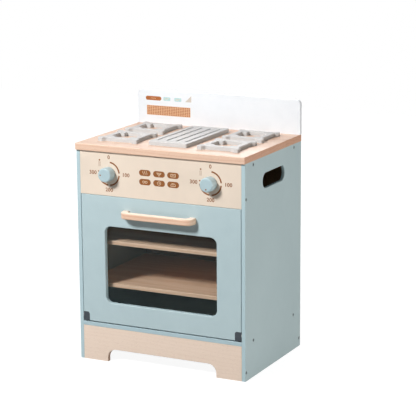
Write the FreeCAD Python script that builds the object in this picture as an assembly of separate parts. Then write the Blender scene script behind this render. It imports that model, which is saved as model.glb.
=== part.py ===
"""Toy kitchen: a board cabinet with an oven door, two clicking knobs, four pan grates and a griddle.

Millimetres. +X is to the right of someone facing the kitchen, +Y is to the back and +Z is up.
The origin is on the floor under the middle of the whole kitchen, door handle included.
"""
import FreeCAD, Part
import math
import os

from FreeCAD import Vector

# The case and its boards
CASE_WIDTH = 408.0
CASE_DEPTH = 295.0
CASE_HEIGHT = 476.0
BOARD = 9.0
BACK_BOARD = 3.0
FIT = 0.05                      # a fixed pin or screw in its hole, on the radius

# The worktop and what stands on it
TOP_WIDTH = 410.0
TOP_THICKNESS = 15.0
TOP_OVERHANG = 5.0
SPLASH_HEIGHT = 79.0
SPLASH_THICKNESS = 10.0
SPLASH_RADIUS = 12.0
HOB_THICKNESS = 9.0
HOB_MIDDLE_Y = 10.5
GRATE_X = 121.5
GRATE_PITCH_Y = 121.0
GRATE_SPAN = 98.0
GRATE_EAR_FACE = 11.0
GRATE_RECESS = 7.0
GRATE_HOLE_LENGTH = 60.0
GRATE_HOLE_WIDTH = 37.0
GRIDDLE_WIDTH = 94.0
GRIDDLE_LENGTH = 211.0
SLOT_PITCH = 22.2
SLOT_LENGTH = 172.0
SLOT_WIDTH = 4.4

# The front, from the floor up
PLINTH_HEIGHT = 78.0
PLINTH_FOOT = 61.0
PLINTH_ARCH_HEIGHT = 29.0
PLINTH_ARCH_RADIUS = 20.0
DOOR_BOTTOM = 89.5
DOOR_TOP = 377.9
DOOR_THICKNESS = 12.0
DOOR_SIDE_GAP = 1.0
FASCIA_BOTTOM = 378.5
WINDOW_WIDTH = 272.5
WINDOW_BOTTOM = 135.8
WINDOW_TOP = 309.8
WINDOW_RADIUS = 14.5
PANE_LAP = 8.0
PANE_THICKNESS = 2.0

# The door handle
HANDLE_LENGTH = 176.0
HANDLE_REACH = 25.0
HANDLE_HEIGHT = 14.5
HANDLE_Z = 342.8
HANDLE_BAR = 12.0
HANDLE_LEG = 15.0

# The door's hinge line
HINGE_BEHIND_FRONT = 5.0
HINGE_ABOVE_EDGE = 12.0
HINGE_PIN_RADIUS = 2.5
HINGE_PLATE_WIDTH = 15.0
HINGE_PLATE_HEIGHT = 20.0
HINGE_PLATE_SHEET = 1.5

# Shelves inside, hand-holes in the sides
SHELF_BOTTOMS = {"lower": 167.0, "upper": 264.0}
SHELF_SETBACK = 20.0
PEG_RADIUS = 2.5
HAND_HOLE_LENGTH = 116.0
HAND_HOLE_HEIGHT = 33.0
HAND_HOLE_Z = 422.0

# The knobs
KNOB_X = 123.0
KNOB_Z = 428.0
KNOB_RADIUS = 15.75
KNOB_REACH = 22.0
AXLE_RADIUS = 4.0
AXLE_CLEARANCE = 0.06
CLICK_RADIUS = 12.0
CLICK_COUNT = 12

# Places that follow from the sizes above
DEPTH = CASE_DEPTH + HANDLE_REACH
FRONT = HANDLE_REACH - DEPTH / 2
REAR = DEPTH / 2
MIDDLE = (FRONT + REAR) / 2
OUTER = CASE_WIDTH / 2
INNER = OUTER - BOARD
BACK_FACE = REAR - BACK_BOARD
TOP_FACE = CASE_HEIGHT + TOP_THICKNESS
DOOR_BACK = FRONT + DOOR_THICKNESS
DOOR_HALF = INNER - DOOR_SIDE_GAP
FASCIA_BACK = FRONT + BOARD
BOTTOM_TOP = PLINTH_HEIGHT + BOARD
HINGE_Y = FRONT + HINGE_BEHIND_FRONT
HINGE_Z = DOOR_BOTTOM + HINGE_ABOVE_EDGE
SIDES = {"left": -1, "right": 1}

X_AXIS = Vector(1, 0, 0)
Y_AXIS = Vector(0, 1, 0)
Z_AXIS = Vector(0, 0, 1)


# ---------------------------------------------------------------- shared shapes

def block(x, y, z):
    """A box from three (low, high) pairs, in either order."""
    lows = [min(pair) for pair in (x, y, z)]
    sizes = [abs(pair[1] - pair[0]) for pair in (x, y, z)]
    return Part.makeBox(*sizes, Vector(*lows))


def rod(radius, start, end):
    """A round bar between two points."""
    start = Vector(*start)
    along = Vector(*end) - start
    return Part.makeCylinder(radius, along.Length, start, along)


def rounded_plate(width, height, radius, centre, thickness, normal=Y_AXIS):
    """A plate with round corners, drawn flat, then turned so that its thickness runs along normal."""
    w = width / 2
    h = height / 2
    r = radius
    k = r * (1 - math.sqrt(0.5))
    corners = [
        (Vector(w - r, -h, 0), Vector(w - k, k - h, 0), Vector(w, r - h, 0)),
        (Vector(w, h - r, 0), Vector(w - k, h - k, 0), Vector(w - r, h, 0)),
        (Vector(r - w, h, 0), Vector(k - w, h - k, 0), Vector(-w, h - r, 0)),
        (Vector(-w, r - h, 0), Vector(k - w, k - h, 0), Vector(r - w, -h, 0)),
    ]
    edges = []
    for index, corner in enumerate(corners):
        before = corners[index - 1][2]
        if before.distanceToPoint(corner[0]) > 1e-6:
            edges.append(Part.makeLine(before, corner[0]))
        edges.append(Part.Arc(*corner).toShape())
    plate = Part.Face(Part.Wire(edges)).extrude(Z_AXIS * thickness)
    if normal == Y_AXIS:
        plate.rotate(Vector(0, 0, 0), X_AXIS, 90)
        plate.translate(Y_AXIS * thickness)
    elif normal == X_AXIS:
        plate.rotate(Vector(0, 0, 0), X_AXIS, 90)
        plate.rotate(Vector(0, 0, 0), Z_AXIS, 90)
    plate.translate(Vector(*centre))
    return plate


def edges_at(shape, test):
    """The straight edges whose middle point passes the test."""
    found = []
    for edge in shape.Edges:
        if edge.Curve.TypeId == "Part::GeomLine":
            middle = edge.valueAt((edge.FirstParameter + edge.LastParameter) / 2)
            if test(middle, edge):
                found.append(edge)
    return found


def runs_along(edge, axis):
    """True where a straight edge is parallel to the axis."""
    return edge.Curve.Direction.cross(axis).Length < 1e-6


def soften(shape, radius, test):
    """Round the straight edges that pass the test."""
    return shape.makeFillet(radius, edges_at(shape, test))


def countersunk_screw(point, direction, length, shank, head, recess=True):
    """A flat-headed cross-slot screw: point is the middle of its head's face, direction is inwards."""
    point = Vector(*point)
    direction = Vector(*direction)
    cone = Part.makeCone(head, shank, head - shank, point, direction)
    body = cone.fuse(Part.makeCylinder(shank, length, point, direction))
    tip = Part.makeCone(shank, 0.3, shank, point + direction * length, direction)
    body = body.fuse(tip).removeSplitter()
    if recess:
        body = body.cut(cross_slot(point, direction, head))
    return body


def pan_screw(point, direction, length, shank, head, thickness):
    """A round-headed cross-slot screw: point is where its head sits, direction is inwards."""
    point = Vector(*point)
    direction = Vector(*direction)
    face = point - direction * thickness
    cap = Part.makeCylinder(head, thickness, face, direction)
    rim = [edge for edge in cap.Edges if edge.Closed and edge.CenterOfMass.distanceToPoint(face) < 1e-6]
    cap = cap.makeFillet(thickness * 0.6, rim)
    body = cap.fuse(Part.makeCylinder(shank, length, point, direction))
    tip = Part.makeCone(shank, 0.3, shank, point + direction * length, direction)
    return body.fuse(tip).removeSplitter().cut(cross_slot(face, direction, head))


def cross_slot(face, direction, head):
    """The driver's cross, sunk into a screw's head at the point face."""
    reach = head * 0.62
    width = head * 0.2
    depth = head * 0.42
    bars = []
    for long_x, long_y in ((reach, width), (width, reach)):
        bars.append(Part.makeBox(2 * long_x, 2 * long_y, depth, Vector(-long_x, -long_y, 0)))
    cross = bars[0].fuse(bars[1])
    cross.Placement = FreeCAD.Placement(face, FreeCAD.Rotation(Z_AXIS, direction))
    return cross


def screw_bore(point, direction, length, shank, head=0.0):
    """What a screw needs cut away: its shank and tip with FIT around them, and its sunk head if it has one."""
    point = Vector(*point)
    direction = Vector(*direction)
    radius = shank + FIT
    bore = Part.makeCylinder(radius, length + shank + 0.5, point, direction)
    if head:
        sink = Part.makeCone(head + FIT, radius, head - shank, point, direction)
        mouth = Part.makeCylinder(head + FIT, 1.0, point - direction, direction)
        bore = bore.fuse([sink, mouth])
    return bore


def drilled(board, bores):
    """A board with every bore cut from it."""
    return board.cut(Part.makeCompound(bores)) if bores else board


def export(node, shape):
    """Write one node's solids as parts/NODE.step."""
    shape.exportStep(os.path.join("parts", node + ".step"))


# ---------------------------------------------------------------- fasteners and dowels

SIDE_SCREW = {"length": 27.0, "shank": 2.0, "head": 3.9}
SIDE_SCREW_SINK = 0.3
DOWEL_RADIUS = 3.0
DOWEL_IN_SIDE = 6.5
DOWEL_IN_BOARD = 17.0
BATTEN = 16.0
BATTEN_Z = CASE_HEIGHT - BATTEN / 2
BOARD_SCREW_Y = (MIDDLE - 107.0, MIDDLE + 107.0)
FASCIA_MIDDLE_Y = FRONT + BOARD / 2
RAIL_MIDDLE_Y = BACK_FACE - BOARD / 2
BOTTOM_MIDDLE_Z = PLINTH_HEIGHT + BOARD / 2
LOW_SCREW_Z = 19.0
LOW_DOWEL_Z = 55.0

SIDE_SCREW_PLACES = [
    (BOARD_SCREW_Y[0], BATTEN_Z),
    (BOARD_SCREW_Y[1], BATTEN_Z),
    (FASCIA_MIDDLE_Y, 399.4),
    (BOARD_SCREW_Y[0], BOTTOM_MIDDLE_Z),
    (BOARD_SCREW_Y[1], BOTTOM_MIDDLE_Z),
    (RAIL_MIDDLE_Y, LOW_SCREW_Z),
    (FASCIA_MIDDLE_Y, LOW_SCREW_Z),
]
DOWEL_PLACES = [
    (FASCIA_MIDDLE_Y, 456.0),
    (MIDDLE, BOTTOM_MIDDLE_Z),
    (FASCIA_MIDDLE_Y, LOW_DOWEL_Z),
    (RAIL_MIDDLE_Y, LOW_DOWEL_Z),
]


def side_screw_seats():
    """Head point and inward direction of each screw through the sides."""
    seats = []
    for side in SIDES.values():
        for y, z in SIDE_SCREW_PLACES:
            seats.append(((side * (OUTER - SIDE_SCREW_SINK), y, z), (-side, 0, 0)))
    return seats


def side_screws():
    return [countersunk_screw(point, way, **SIDE_SCREW) for point, way in side_screw_seats()]


def side_screw_bores():
    return [screw_bore(point, way, **SIDE_SCREW) for point, way in side_screw_seats()]


def dowels(extra=0.0):
    """The glued dowels between the sides and the boards, or their holes when extra is given."""
    pins = []
    for side in SIDES.values():
        for y, z in DOWEL_PLACES:
            start = (side * (INNER + DOWEL_IN_SIDE + extra), y, z)
            end = (side * (INNER - DOWEL_IN_BOARD - extra), y, z)
            pins.append(rod(DOWEL_RADIUS + extra, start, end))
    return pins


def peg_places():
    """Where the shelf pegs leave the sides, as (y, z)."""
    places = []
    for bottom in SHELF_BOTTOMS.values():
        for y in (FRONT + 62.0, BACK_FACE - 42.0):
            places.append((y, bottom - PEG_RADIUS))
    return places


PEG_IN_SIDE = 6.5
PEG_OUT = 8.0


def pegs(places, radius, extra=0.0):
    """Short pegs pushed into blind holes in both sides, or those holes when extra is given."""
    shapes = []
    for side in SIDES.values():
        for y, z in places:
            start = (side * (INNER + PEG_IN_SIDE + extra), y, z)
            end = (side * (INNER - PEG_OUT), y, z)
            shapes.append(rod(radius + extra, start, end))
    return shapes


# The stop pegs stand clear of the shut door's back and meet its lower edge when it lies open.
STOP_RADIUS = 2.3
STOP_CLEARANCE = 0.2
STOP_OFFSET = DOOR_THICKNESS - HINGE_BEHIND_FRONT + STOP_RADIUS + STOP_CLEARANCE
STOP_PLACE = (HINGE_Y + STOP_OFFSET, HINGE_Z + STOP_OFFSET)

BUSH_RADIUS = 4.5
BUSH_DEPTH = 6.0
BUSH_FLANGE_RADIUS = 4.9
BUSH_FLANGE = 0.5


# ---------------------------------------------------------------- cabinet boards

def side_panel(side):
    """One painted side: a hand-hole near the top, and holes for everything that it holds."""
    panel = block((side * INNER, side * OUTER), (FRONT, REAR), (0, CASE_HEIGHT))
    panel = soften(panel, 1.0, lambda middle, edge: runs_along(edge, Z_AXIS))
    hole = rounded_plate(
        HAND_HOLE_LENGTH, HAND_HOLE_HEIGHT, HAND_HOLE_HEIGHT / 2 - 0.01,
        (INNER * side - (BOARD if side < 0 else 0), MIDDLE, HAND_HOLE_Z), BOARD, X_AXIS,
    )
    panel = panel.cut(hole)
    rims = []
    for edge in panel.Edges:
        centre = edge.BoundBox.Center
        near_y = abs(centre.y - MIDDLE) <= HAND_HOLE_LENGTH / 2
        near_z = abs(centre.z - HAND_HOLE_Z) <= HAND_HOLE_HEIGHT / 2 + 1e-3
        flat = edge.BoundBox.XLength < 1e-6
        if near_y and near_z and flat:
            rims.append(edge)
    panel = panel.makeFillet(2.4, rims)
    bores = side_screw_bores() + dowels(FIT)
    bores += pegs(peg_places(), PEG_RADIUS, FIT)
    bores += pegs([STOP_PLACE], STOP_RADIUS, FIT)
    bush_end = side * (INNER + BUSH_DEPTH + FIT)
    bores.append(rod(BUSH_RADIUS + FIT, (side * (INNER - 1), HINGE_Y, HINGE_Z), (bush_end, HINGE_Y, HINGE_Z)))
    return drilled(panel, bores)


def control_panel():
    """The board across the front above the door, with a hole for each knob's axle."""
    board = block((-INNER, INNER), (FRONT, FASCIA_BACK), (FASCIA_BOTTOM, CASE_HEIGHT))
    board = soften(board, 0.8, lambda middle, edge: middle.z < FASCIA_BOTTOM + 1e-3 and runs_along(edge, X_AXIS))
    bores = side_screw_bores() + dowels(FIT)
    for side in SIDES.values():
        x = side * KNOB_X
        bores.append(rod(AXLE_RADIUS + AXLE_CLEARANCE, (x, FRONT - 1, KNOB_Z), (x, FASCIA_BACK + 1, KNOB_Z)))
        bores.append(click_spring_bore(x))
    bores += catch_screw_bores()
    return drilled(board, bores)


def plinth():
    """The front foot board, cut away between its two feet in a low arch with round corners."""
    board = block((-INNER, INNER), (FRONT, FASCIA_BACK), (0, PLINTH_HEIGHT))
    arch_width = 2 * (INNER - PLINTH_FOOT)
    arch = rounded_plate(
        arch_width, 2 * PLINTH_ARCH_HEIGHT, PLINTH_ARCH_RADIUS, (0, FRONT, 0), BOARD,
    )
    board = board.cut(arch)
    rims = [edge for edge in board.Edges if is_arch_rim(edge)]
    board = board.makeFillet(1.0, rims)
    return drilled(board, side_screw_bores() + dowels(FIT))


def is_arch_rim(edge):
    """True for the plinth's front edges along the arch."""
    box = edge.BoundBox
    in_front = abs(box.YMin - FRONT) < 1e-6 and box.YLength < 1e-6
    inside = max(abs(box.XMin), abs(box.XMax)) < INNER - PLINTH_FOOT + 1e-3
    return in_front and inside and box.ZMax < PLINTH_ARCH_HEIGHT + 1e-3 and box.ZMax > 1.0


def rear_rail():
    """The foot board at the back, behind which the back board stands."""
    board = block((-INNER, INNER), (BACK_FACE - BOARD, BACK_FACE), (0, PLINTH_HEIGHT))
    return drilled(board, side_screw_bores() + dowels(FIT) + back_screw_bores())


def bottom_board():
    """The oven's floor, whose front edge shows as a strip under the door."""
    board = block((-INNER, INNER), (FRONT, BACK_FACE), (PLINTH_HEIGHT, BOTTOM_TOP))
    board = soften(board, 0.8, lambda middle, edge: middle.y < FRONT + 1e-3 and runs_along(edge, X_AXIS))
    return drilled(board, side_screw_bores() + dowels(FIT) + back_screw_bores())


def shelf(name):
    """A loose board on four pegs, with a softened front edge."""
    bottom = SHELF_BOTTOMS[name]
    clearance = 0.5
    board = block(
        (clearance - INNER, INNER - clearance),
        (FRONT + SHELF_SETBACK, BACK_FACE - clearance),
        (bottom, bottom + BOARD),
    )
    front = FRONT + SHELF_SETBACK
    return soften(board, 1.2, lambda middle, edge: middle.y < front + 1e-3 and runs_along(edge, X_AXIS))


def top_batten(side):
    """A strip inside the top of each side, which the worktop is screwed to from below."""
    inner = side * (INNER - BATTEN)
    strip = block((inner, side * INNER), (FASCIA_BACK + 2, BACK_FACE), (CASE_HEIGHT - BATTEN, CASE_HEIGHT))
    return drilled(strip, side_screw_bores() + batten_screw_bores() + back_screw_bores())


BATTEN_SCREW = {"length": 26.0, "shank": 1.75, "head": 3.5}
BATTEN_SCREW_SINK = 0.2


def batten_screw_seats():
    seats = []
    for side in SIDES.values():
        for offset in (-72.0, 0.0, 72.0):
            x = side * (INNER - BATTEN / 2)
            seats.append(((x, MIDDLE + offset, CASE_HEIGHT - BATTEN + BATTEN_SCREW_SINK), (0, 0, 1)))
    return seats


def batten_screw_bores():
    return [screw_bore(point, way, **BATTEN_SCREW) for point, way in batten_screw_seats()]


BACK_SCREW = {"length": 15.0, "shank": 1.25, "head": 2.8}
BACK_SCREW_SINK = 0.1


def back_screw_seats():
    """Screws through the back board into the bottom board's edge and the battens' ends."""
    seats = []
    for side in SIDES.values():
        seats.append(((side * (INNER - BATTEN / 2), REAR - BACK_SCREW_SINK, BATTEN_Z), (0, -1, 0)))
    for x in (-150.0, -50.0, 50.0, 150.0):
        seats.append(((x, REAR - BACK_SCREW_SINK, BOTTOM_MIDDLE_Z), (0, -1, 0)))
    return seats


def back_screw_bores():
    return [screw_bore(point, way, **BACK_SCREW) for point, way in back_screw_seats()]


def back_panel():
    """The thin back board, between the sides, from near the floor to the worktop."""
    board = block((0.3 - INNER, INNER - 0.3), (BACK_FACE, REAR), (2, CASE_HEIGHT))
    return drilled(board, back_screw_bores())


# ---------------------------------------------------------------- worktop, splashback and hob

SPLASH_SCREW = {"length": 38.0, "shank": 2.0, "head": 3.9}
SPLASH_SCREW_X = (-160.0, -53.0, 53.0, 160.0)


def splash_screw_seats():
    """Long screws up through the worktop into the foot of the splashback."""
    y = REAR - SPLASH_THICKNESS / 2
    return [((x, y, CASE_HEIGHT + 0.2), (0, 0, 1)) for x in SPLASH_SCREW_X]


def splash_screw_bores():
    return [screw_bore(point, way, **SPLASH_SCREW) for point, way in splash_screw_seats()]


def countertop():
    """The solid wood worktop, with round corners and a softened upper edge."""
    width = TOP_WIDTH
    depth = CASE_DEPTH + TOP_OVERHANG
    centre = (0, REAR - depth / 2, CASE_HEIGHT)
    board = rounded_plate(width, depth, 3.0, centre, TOP_THICKNESS, Z_AXIS)
    rim = [edge for edge in board.Edges if edge.BoundBox.ZMin > TOP_FACE - 1e-3]
    board = board.makeFillet(1.8, rim)
    under = [edge for edge in board.Edges if edge.BoundBox.ZMax < CASE_HEIGHT + 1e-3]
    board = board.makeFillet(0.8, under)
    return drilled(board, batten_screw_bores() + splash_screw_bores() + hob_screw_bores())


def backsplash():
    """The white upright board at the back of the worktop, its upper corners round."""
    width = TOP_WIDTH
    height = 2 * SPLASH_HEIGHT
    centre = (0, REAR - SPLASH_THICKNESS, TOP_FACE)
    board = rounded_plate(width, height, SPLASH_RADIUS, centre, SPLASH_THICKNESS)
    top = TOP_FACE + SPLASH_HEIGHT
    board = board.common(block((-width, width), (MIDDLE, REAR + 1), (TOP_FACE, top + 1)))
    rims = []
    for edge in board.Edges:
        box = edge.BoundBox
        if box.YLength < 1e-6 and box.ZMax > TOP_FACE + 1.0:
            rims.append(edge)
    board = board.makeFillet(1.0, rims)
    return drilled(board, splash_screw_bores())


def grate_places():
    """Name and middle of each pan grate."""
    places = {}
    for row, step in (("front", -0.5), ("rear", 0.5)):
        for name, side in SIDES.items():
            places[row + "_" + name + "_grate"] = (side * GRATE_X, HOB_MIDDLE_Y + step * GRATE_PITCH_Y)
    return places


def side_recess():
    """What is cut from one side of a grate between its two ears, drawn for the side at -Y."""
    outer = GRATE_SPAN / 2 - GRATE_EAR_FACE
    inner = outer - GRATE_RECESS
    edge = -GRATE_SPAN / 2
    corners = [(-outer - 1, edge - 1), (outer + 1, edge - 1), (inner, edge + GRATE_RECESS), (-inner, edge + GRATE_RECESS)]
    points = [Vector(x, y, 0) for x, y in corners + corners[:1]]
    return Part.Face(Part.makePolygon(points)).extrude(Z_AXIS * HOB_THICKNESS)


def grate(x, y):
    """A pan grate: a square with recessed sides, so that its corners are ears, and a cross-shaped opening."""
    body = rounded_plate(GRATE_SPAN, GRATE_SPAN, 3.0, (0, 0, 0), HOB_THICKNESS, Z_AXIS)
    for angle in (0, 90, 180, 270):
        recess = side_recess()
        recess.rotate(Vector(0, 0, 0), Z_AXIS, angle)
        body = body.cut(recess)
    body = body.makeFillet(7.0, edges_at(body, is_recess_root))
    body = body.makeFillet(2.5, edges_at(body, is_ear_shoulder))
    half_length = GRATE_HOLE_LENGTH / 2
    half_width = GRATE_HOLE_WIDTH / 2
    tall = (0, HOB_THICKNESS)
    opening = block((-half_length, half_length), (-half_width, half_width), tall)
    opening = opening.fuse(block((-half_width, half_width), (-half_length, half_length), tall)).removeSplitter()
    opening = opening.makeFillet(2.5, edges_at(opening, lambda middle, edge: runs_along(edge, Z_AXIS)))
    body = body.cut(opening)
    rim = [edge for edge in body.Edges if edge.BoundBox.ZMin > HOB_THICKNESS - 1e-3]
    body = body.makeFillet(1.8, rim)
    body.translate(Vector(x, y, TOP_FACE))
    return drilled(body, hob_screw_bores())


def is_recess_root(middle, edge):
    """True for the upright edges at the bottom of a grate's side recess."""
    far = max(abs(middle.x), abs(middle.y))
    near = min(abs(middle.x), abs(middle.y))
    root = GRATE_SPAN / 2 - GRATE_RECESS
    return runs_along(edge, Z_AXIS) and abs(far - root) < 1e-3 and abs(near - root + GRATE_EAR_FACE) < 1e-3


def is_ear_shoulder(middle, edge):
    """True for the upright edges where an ear's face ends and its side recess starts."""
    far = max(abs(middle.x), abs(middle.y))
    near = min(abs(middle.x), abs(middle.y))
    span = GRATE_SPAN / 2
    return runs_along(edge, Z_AXIS) and abs(far - span) < 1e-3 and abs(near - span + GRATE_EAR_FACE) < 1e-3


def in_slots(box, reach):
    """True for an edge of the griddle plate that lies within its slots' area."""
    ends = SLOT_LENGTH / 2 + 1
    inside_x = box.XMin > -reach and box.XMax < reach
    return inside_x and box.YMin > HOB_MIDDLE_Y - ends and box.YMax < HOB_MIDDLE_Y + ends


def griddle_plate():
    """The long plate between the grates, with four slots along it."""
    centre = (0, HOB_MIDDLE_Y, TOP_FACE)
    plate = rounded_plate(GRIDDLE_WIDTH, GRIDDLE_LENGTH, 4.0, centre, HOB_THICKNESS, Z_AXIS)
    for index in range(4):
        x = (index - 1.5) * SLOT_PITCH
        place = (x, HOB_MIDDLE_Y, TOP_FACE)
        plate = plate.cut(rounded_plate(SLOT_WIDTH, SLOT_LENGTH, SLOT_WIDTH / 2 - 0.01, place, HOB_THICKNESS, Z_AXIS))
    top = TOP_FACE + HOB_THICKNESS
    upper = [edge for edge in plate.Edges if edge.BoundBox.ZMin > top - 1e-3]
    slot_reach = 1.5 * SLOT_PITCH + SLOT_WIDTH / 2 + 1
    outer = [edge for edge in upper if not in_slots(edge.BoundBox, slot_reach)]
    plate = plate.makeFillet(1.6, outer)
    upper = [edge for edge in plate.Edges if edge.BoundBox.ZMin > top - 1e-3]
    plate = plate.makeFillet(0.5, [edge for edge in upper if in_slots(edge.BoundBox, slot_reach)])
    return drilled(plate, hob_screw_bores())


HOB_SCREW = {"length": 20.0, "shank": 1.5, "head": 3.0}
GRATE_SCREW_OFFSET = 34.0
GRIDDLE_SCREW_Y = 96.0


def hob_screw_seats():
    """Screws from under the worktop: two up into each grate and two into the griddle plate."""
    seats = []
    z = CASE_HEIGHT + 0.2
    for x, y in grate_places().values():
        for sign in (-1, 1):
            seats.append(((x + sign * GRATE_SCREW_OFFSET, y + sign * GRATE_SCREW_OFFSET, z), (0, 0, 1)))
    for sign in (-1, 1):
        seats.append(((0, HOB_MIDDLE_Y + sign * GRIDDLE_SCREW_Y, z), (0, 0, 1)))
    return seats


def hob_screw_bores():
    return [screw_bore(point, way, **HOB_SCREW) for point, way in hob_screw_seats()]


# ---------------------------------------------------------------- oven door

WINDOW_MIDDLE_Z = (WINDOW_BOTTOM + WINDOW_TOP) / 2
WINDOW_HEIGHT = WINDOW_TOP - WINDOW_BOTTOM
PANE_GAP = 0.3
PANE_REBATE = 2.2
HANDLE_SCREW = {"length": 25.0, "shank": 1.75}
HANDLE_SCREW_X = (HANDLE_LENGTH - HANDLE_LEG) / 2
HANDLE_SCREW_HEAD = 3.8
HANDLE_SCREW_CAP = 2.2
PANE_SCREW = {"length": 7.0, "shank": 1.0}
PANE_SCREW_HEAD = 2.2
PANE_SCREW_CAP = 1.3
PLATE_SCREW = {"length": 14.0, "shank": 1.2, "head": 2.3}
STRIKE_WIDTH = 34.0
STRIKE_HEIGHT = 12.0
STRIKE_SHEET = 1.2
STRIKE_Z = 368.0
STRIKE_SCREW = {"length": 8.0, "shank": 1.0, "head": 1.9}
STRIKE_SCREW_X = 12.0


def pane_screw_seats():
    """Eight small screws around the window pane, from inside the oven."""
    seats = []
    half_x = WINDOW_WIDTH / 2 + PANE_LAP / 2
    half_z = WINDOW_HEIGHT / 2 + PANE_LAP / 2
    y = DOOR_BACK - PANE_REBATE + PANE_THICKNESS
    for sign in (-1, 1):
        for x in (-half_x + 18.0, 0.0, half_x - 18.0):
            seats.append(((x, y, WINDOW_MIDDLE_Z + sign * half_z), (0, -1, 0)))
        seats.append(((sign * half_x, y, WINDOW_MIDDLE_Z), (0, -1, 0)))
    return seats


def pane_screw_bores():
    return [screw_bore(point, way, **PANE_SCREW) for point, way in pane_screw_seats()]


def handle_screw_seats():
    return [((side * HANDLE_SCREW_X, DOOR_BACK, HANDLE_Z), (0, -1, 0)) for side in SIDES.values()]


def handle_screw_bores():
    return [screw_bore(point, way, **HANDLE_SCREW) for point, way in handle_screw_seats()]


def plate_screw_seats():
    """One screw through each hinge plate into the door's side edge, below the pin."""
    return [((side * (DOOR_HALF - 0.1), DOOR_BACK - 4.0, DOOR_BOTTOM + 4.5), (-side, 0, 0))
            for side in SIDES.values()]


def plate_screw_bores():
    return [screw_bore(point, way, **PLATE_SCREW) for point, way in plate_screw_seats()]


def strike_screw_seats():
    return [((side * STRIKE_SCREW_X, DOOR_BACK + STRIKE_SHEET - 0.05, STRIKE_Z), (0, -1, 0))
            for side in SIDES.values()]


def strike_screw_bores():
    return [screw_bore(point, way, **STRIKE_SCREW) for point, way in strike_screw_seats()]


def plate_blank(side):
    """The bent sheet of a hinge plate: a leaf flush in the door's front and one in its side edge."""
    edge = side * DOOR_HALF
    low_high = (DOOR_BOTTOM, DOOR_BOTTOM + HINGE_PLATE_HEIGHT)
    front = block(
        (edge - side * HINGE_PLATE_WIDTH, edge), (FRONT, FRONT + HINGE_PLATE_SHEET), low_high,
    )
    inner_x = edge - side * HINGE_PLATE_WIDTH
    top_z = low_high[1]
    corner = [
        item for item in front.Edges
        if runs_along(item, Y_AXIS)
        and abs(item.CenterOfMass.x - inner_x) < 1e-6
        and abs(item.CenterOfMass.z - top_z) < 1e-6
    ]
    front = front.makeFillet(5.0, corner)
    cheek = block((edge - side * HINGE_PLATE_SHEET, edge), (FRONT, DOOR_BACK), low_high)
    return front.fuse(cheek).removeSplitter()


def hinge_plate(side):
    """A hinge plate with the hole that turns on the hinge pin."""
    edge = side * DOOR_HALF
    hole = rod(HINGE_PIN_RADIUS + FIT, (edge - side * 5, HINGE_Y, HINGE_Z), (edge + side, HINGE_Y, HINGE_Z))
    return drilled(plate_blank(side), [hole] + plate_screw_bores())


def oven_door():
    """The painted drop-down door, with a window opening rebated at the back for its pane."""
    door = block((-DOOR_HALF, DOOR_HALF), (FRONT, DOOR_BACK), (DOOR_BOTTOM, DOOR_TOP))
    door = soften(door, 1.0, lambda middle, edge: True)
    window = rounded_plate(
        WINDOW_WIDTH, WINDOW_HEIGHT, WINDOW_RADIUS, (0, FRONT, WINDOW_MIDDLE_Z), DOOR_THICKNESS,
    )
    door = door.cut(window)
    rims = []
    for edge in door.Edges:
        box = edge.BoundBox
        on_front = abs(box.YMin - FRONT) < 1e-6 and box.YLength < 1e-6
        if on_front and max(abs(box.XMin), abs(box.XMax)) < WINDOW_WIDTH / 2 + 1e-3:
            if WINDOW_BOTTOM - 1e-3 < box.ZMin and box.ZMax < WINDOW_TOP + 1e-3:
                rims.append(edge)
    door = door.makeFillet(1.8, rims)
    rebate = rounded_plate(
        WINDOW_WIDTH + 2 * PANE_LAP, WINDOW_HEIGHT + 2 * PANE_LAP, WINDOW_RADIUS,
        (0, DOOR_BACK - PANE_REBATE, WINDOW_MIDDLE_Z), PANE_REBATE,
    )
    door = door.cut(rebate)
    bores = pane_screw_bores() + handle_screw_bores() + plate_screw_bores() + strike_screw_bores()
    for side in SIDES.values():
        door = door.cut(plate_blank(side))
        pin_end = side * (DOOR_HALF - 13.0)
        bores.append(rod(HINGE_PIN_RADIUS + 0.7, (side * INNER, HINGE_Y, HINGE_Z), (pin_end, HINGE_Y, HINGE_Z)))
    return drilled(door, bores)


def door_window():
    """The clear acrylic pane in the door's rebate."""
    pane = rounded_plate(
        WINDOW_WIDTH + 2 * (PANE_LAP - PANE_GAP), WINDOW_HEIGHT + 2 * (PANE_LAP - PANE_GAP),
        WINDOW_RADIUS - PANE_GAP, (0, DOOR_BACK - PANE_REBATE, WINDOW_MIDDLE_Z), PANE_THICKNESS,
    )
    return drilled(pane, pane_screw_bores())


def door_handle():
    """The beech handle: a bar that curves back to the door at both ends."""
    reach = HANDLE_REACH
    low = HANDLE_Z - HANDLE_HEIGHT / 2
    outer = rounded_plate(
        HANDLE_LENGTH, 2 * reach, 18.0, (0, FRONT, low), HANDLE_HEIGHT, Z_AXIS,
    )
    gap = rounded_plate(
        HANDLE_LENGTH - 2 * HANDLE_LEG, 2 * (reach - HANDLE_BAR), 9.0, (0, FRONT, low), HANDLE_HEIGHT, Z_AXIS,
    )
    handle = outer.cut(gap)
    front_half = block((-HANDLE_LENGTH, HANDLE_LENGTH), (FRONT - reach - 1, FRONT), (low - 1, low + HANDLE_HEIGHT + 1))
    handle = handle.common(front_half)
    rims = []
    for edge in handle.Edges:
        box = edge.BoundBox
        if box.ZLength < 1e-6 and box.YMin < FRONT - 1.0:
            rims.append(edge)
    handle = handle.makeFillet(2.6, rims)
    return drilled(handle, handle_screw_bores())


def strike_plate():
    """The steel plate that the catch's magnet pulls on."""
    plate = rounded_plate(
        STRIKE_WIDTH, STRIKE_HEIGHT, 3.0, (0, DOOR_BACK, STRIKE_Z), STRIKE_SHEET,
    )
    return drilled(plate, strike_screw_bores())


# ---------------------------------------------------------------- hinge pins and catch

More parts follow.
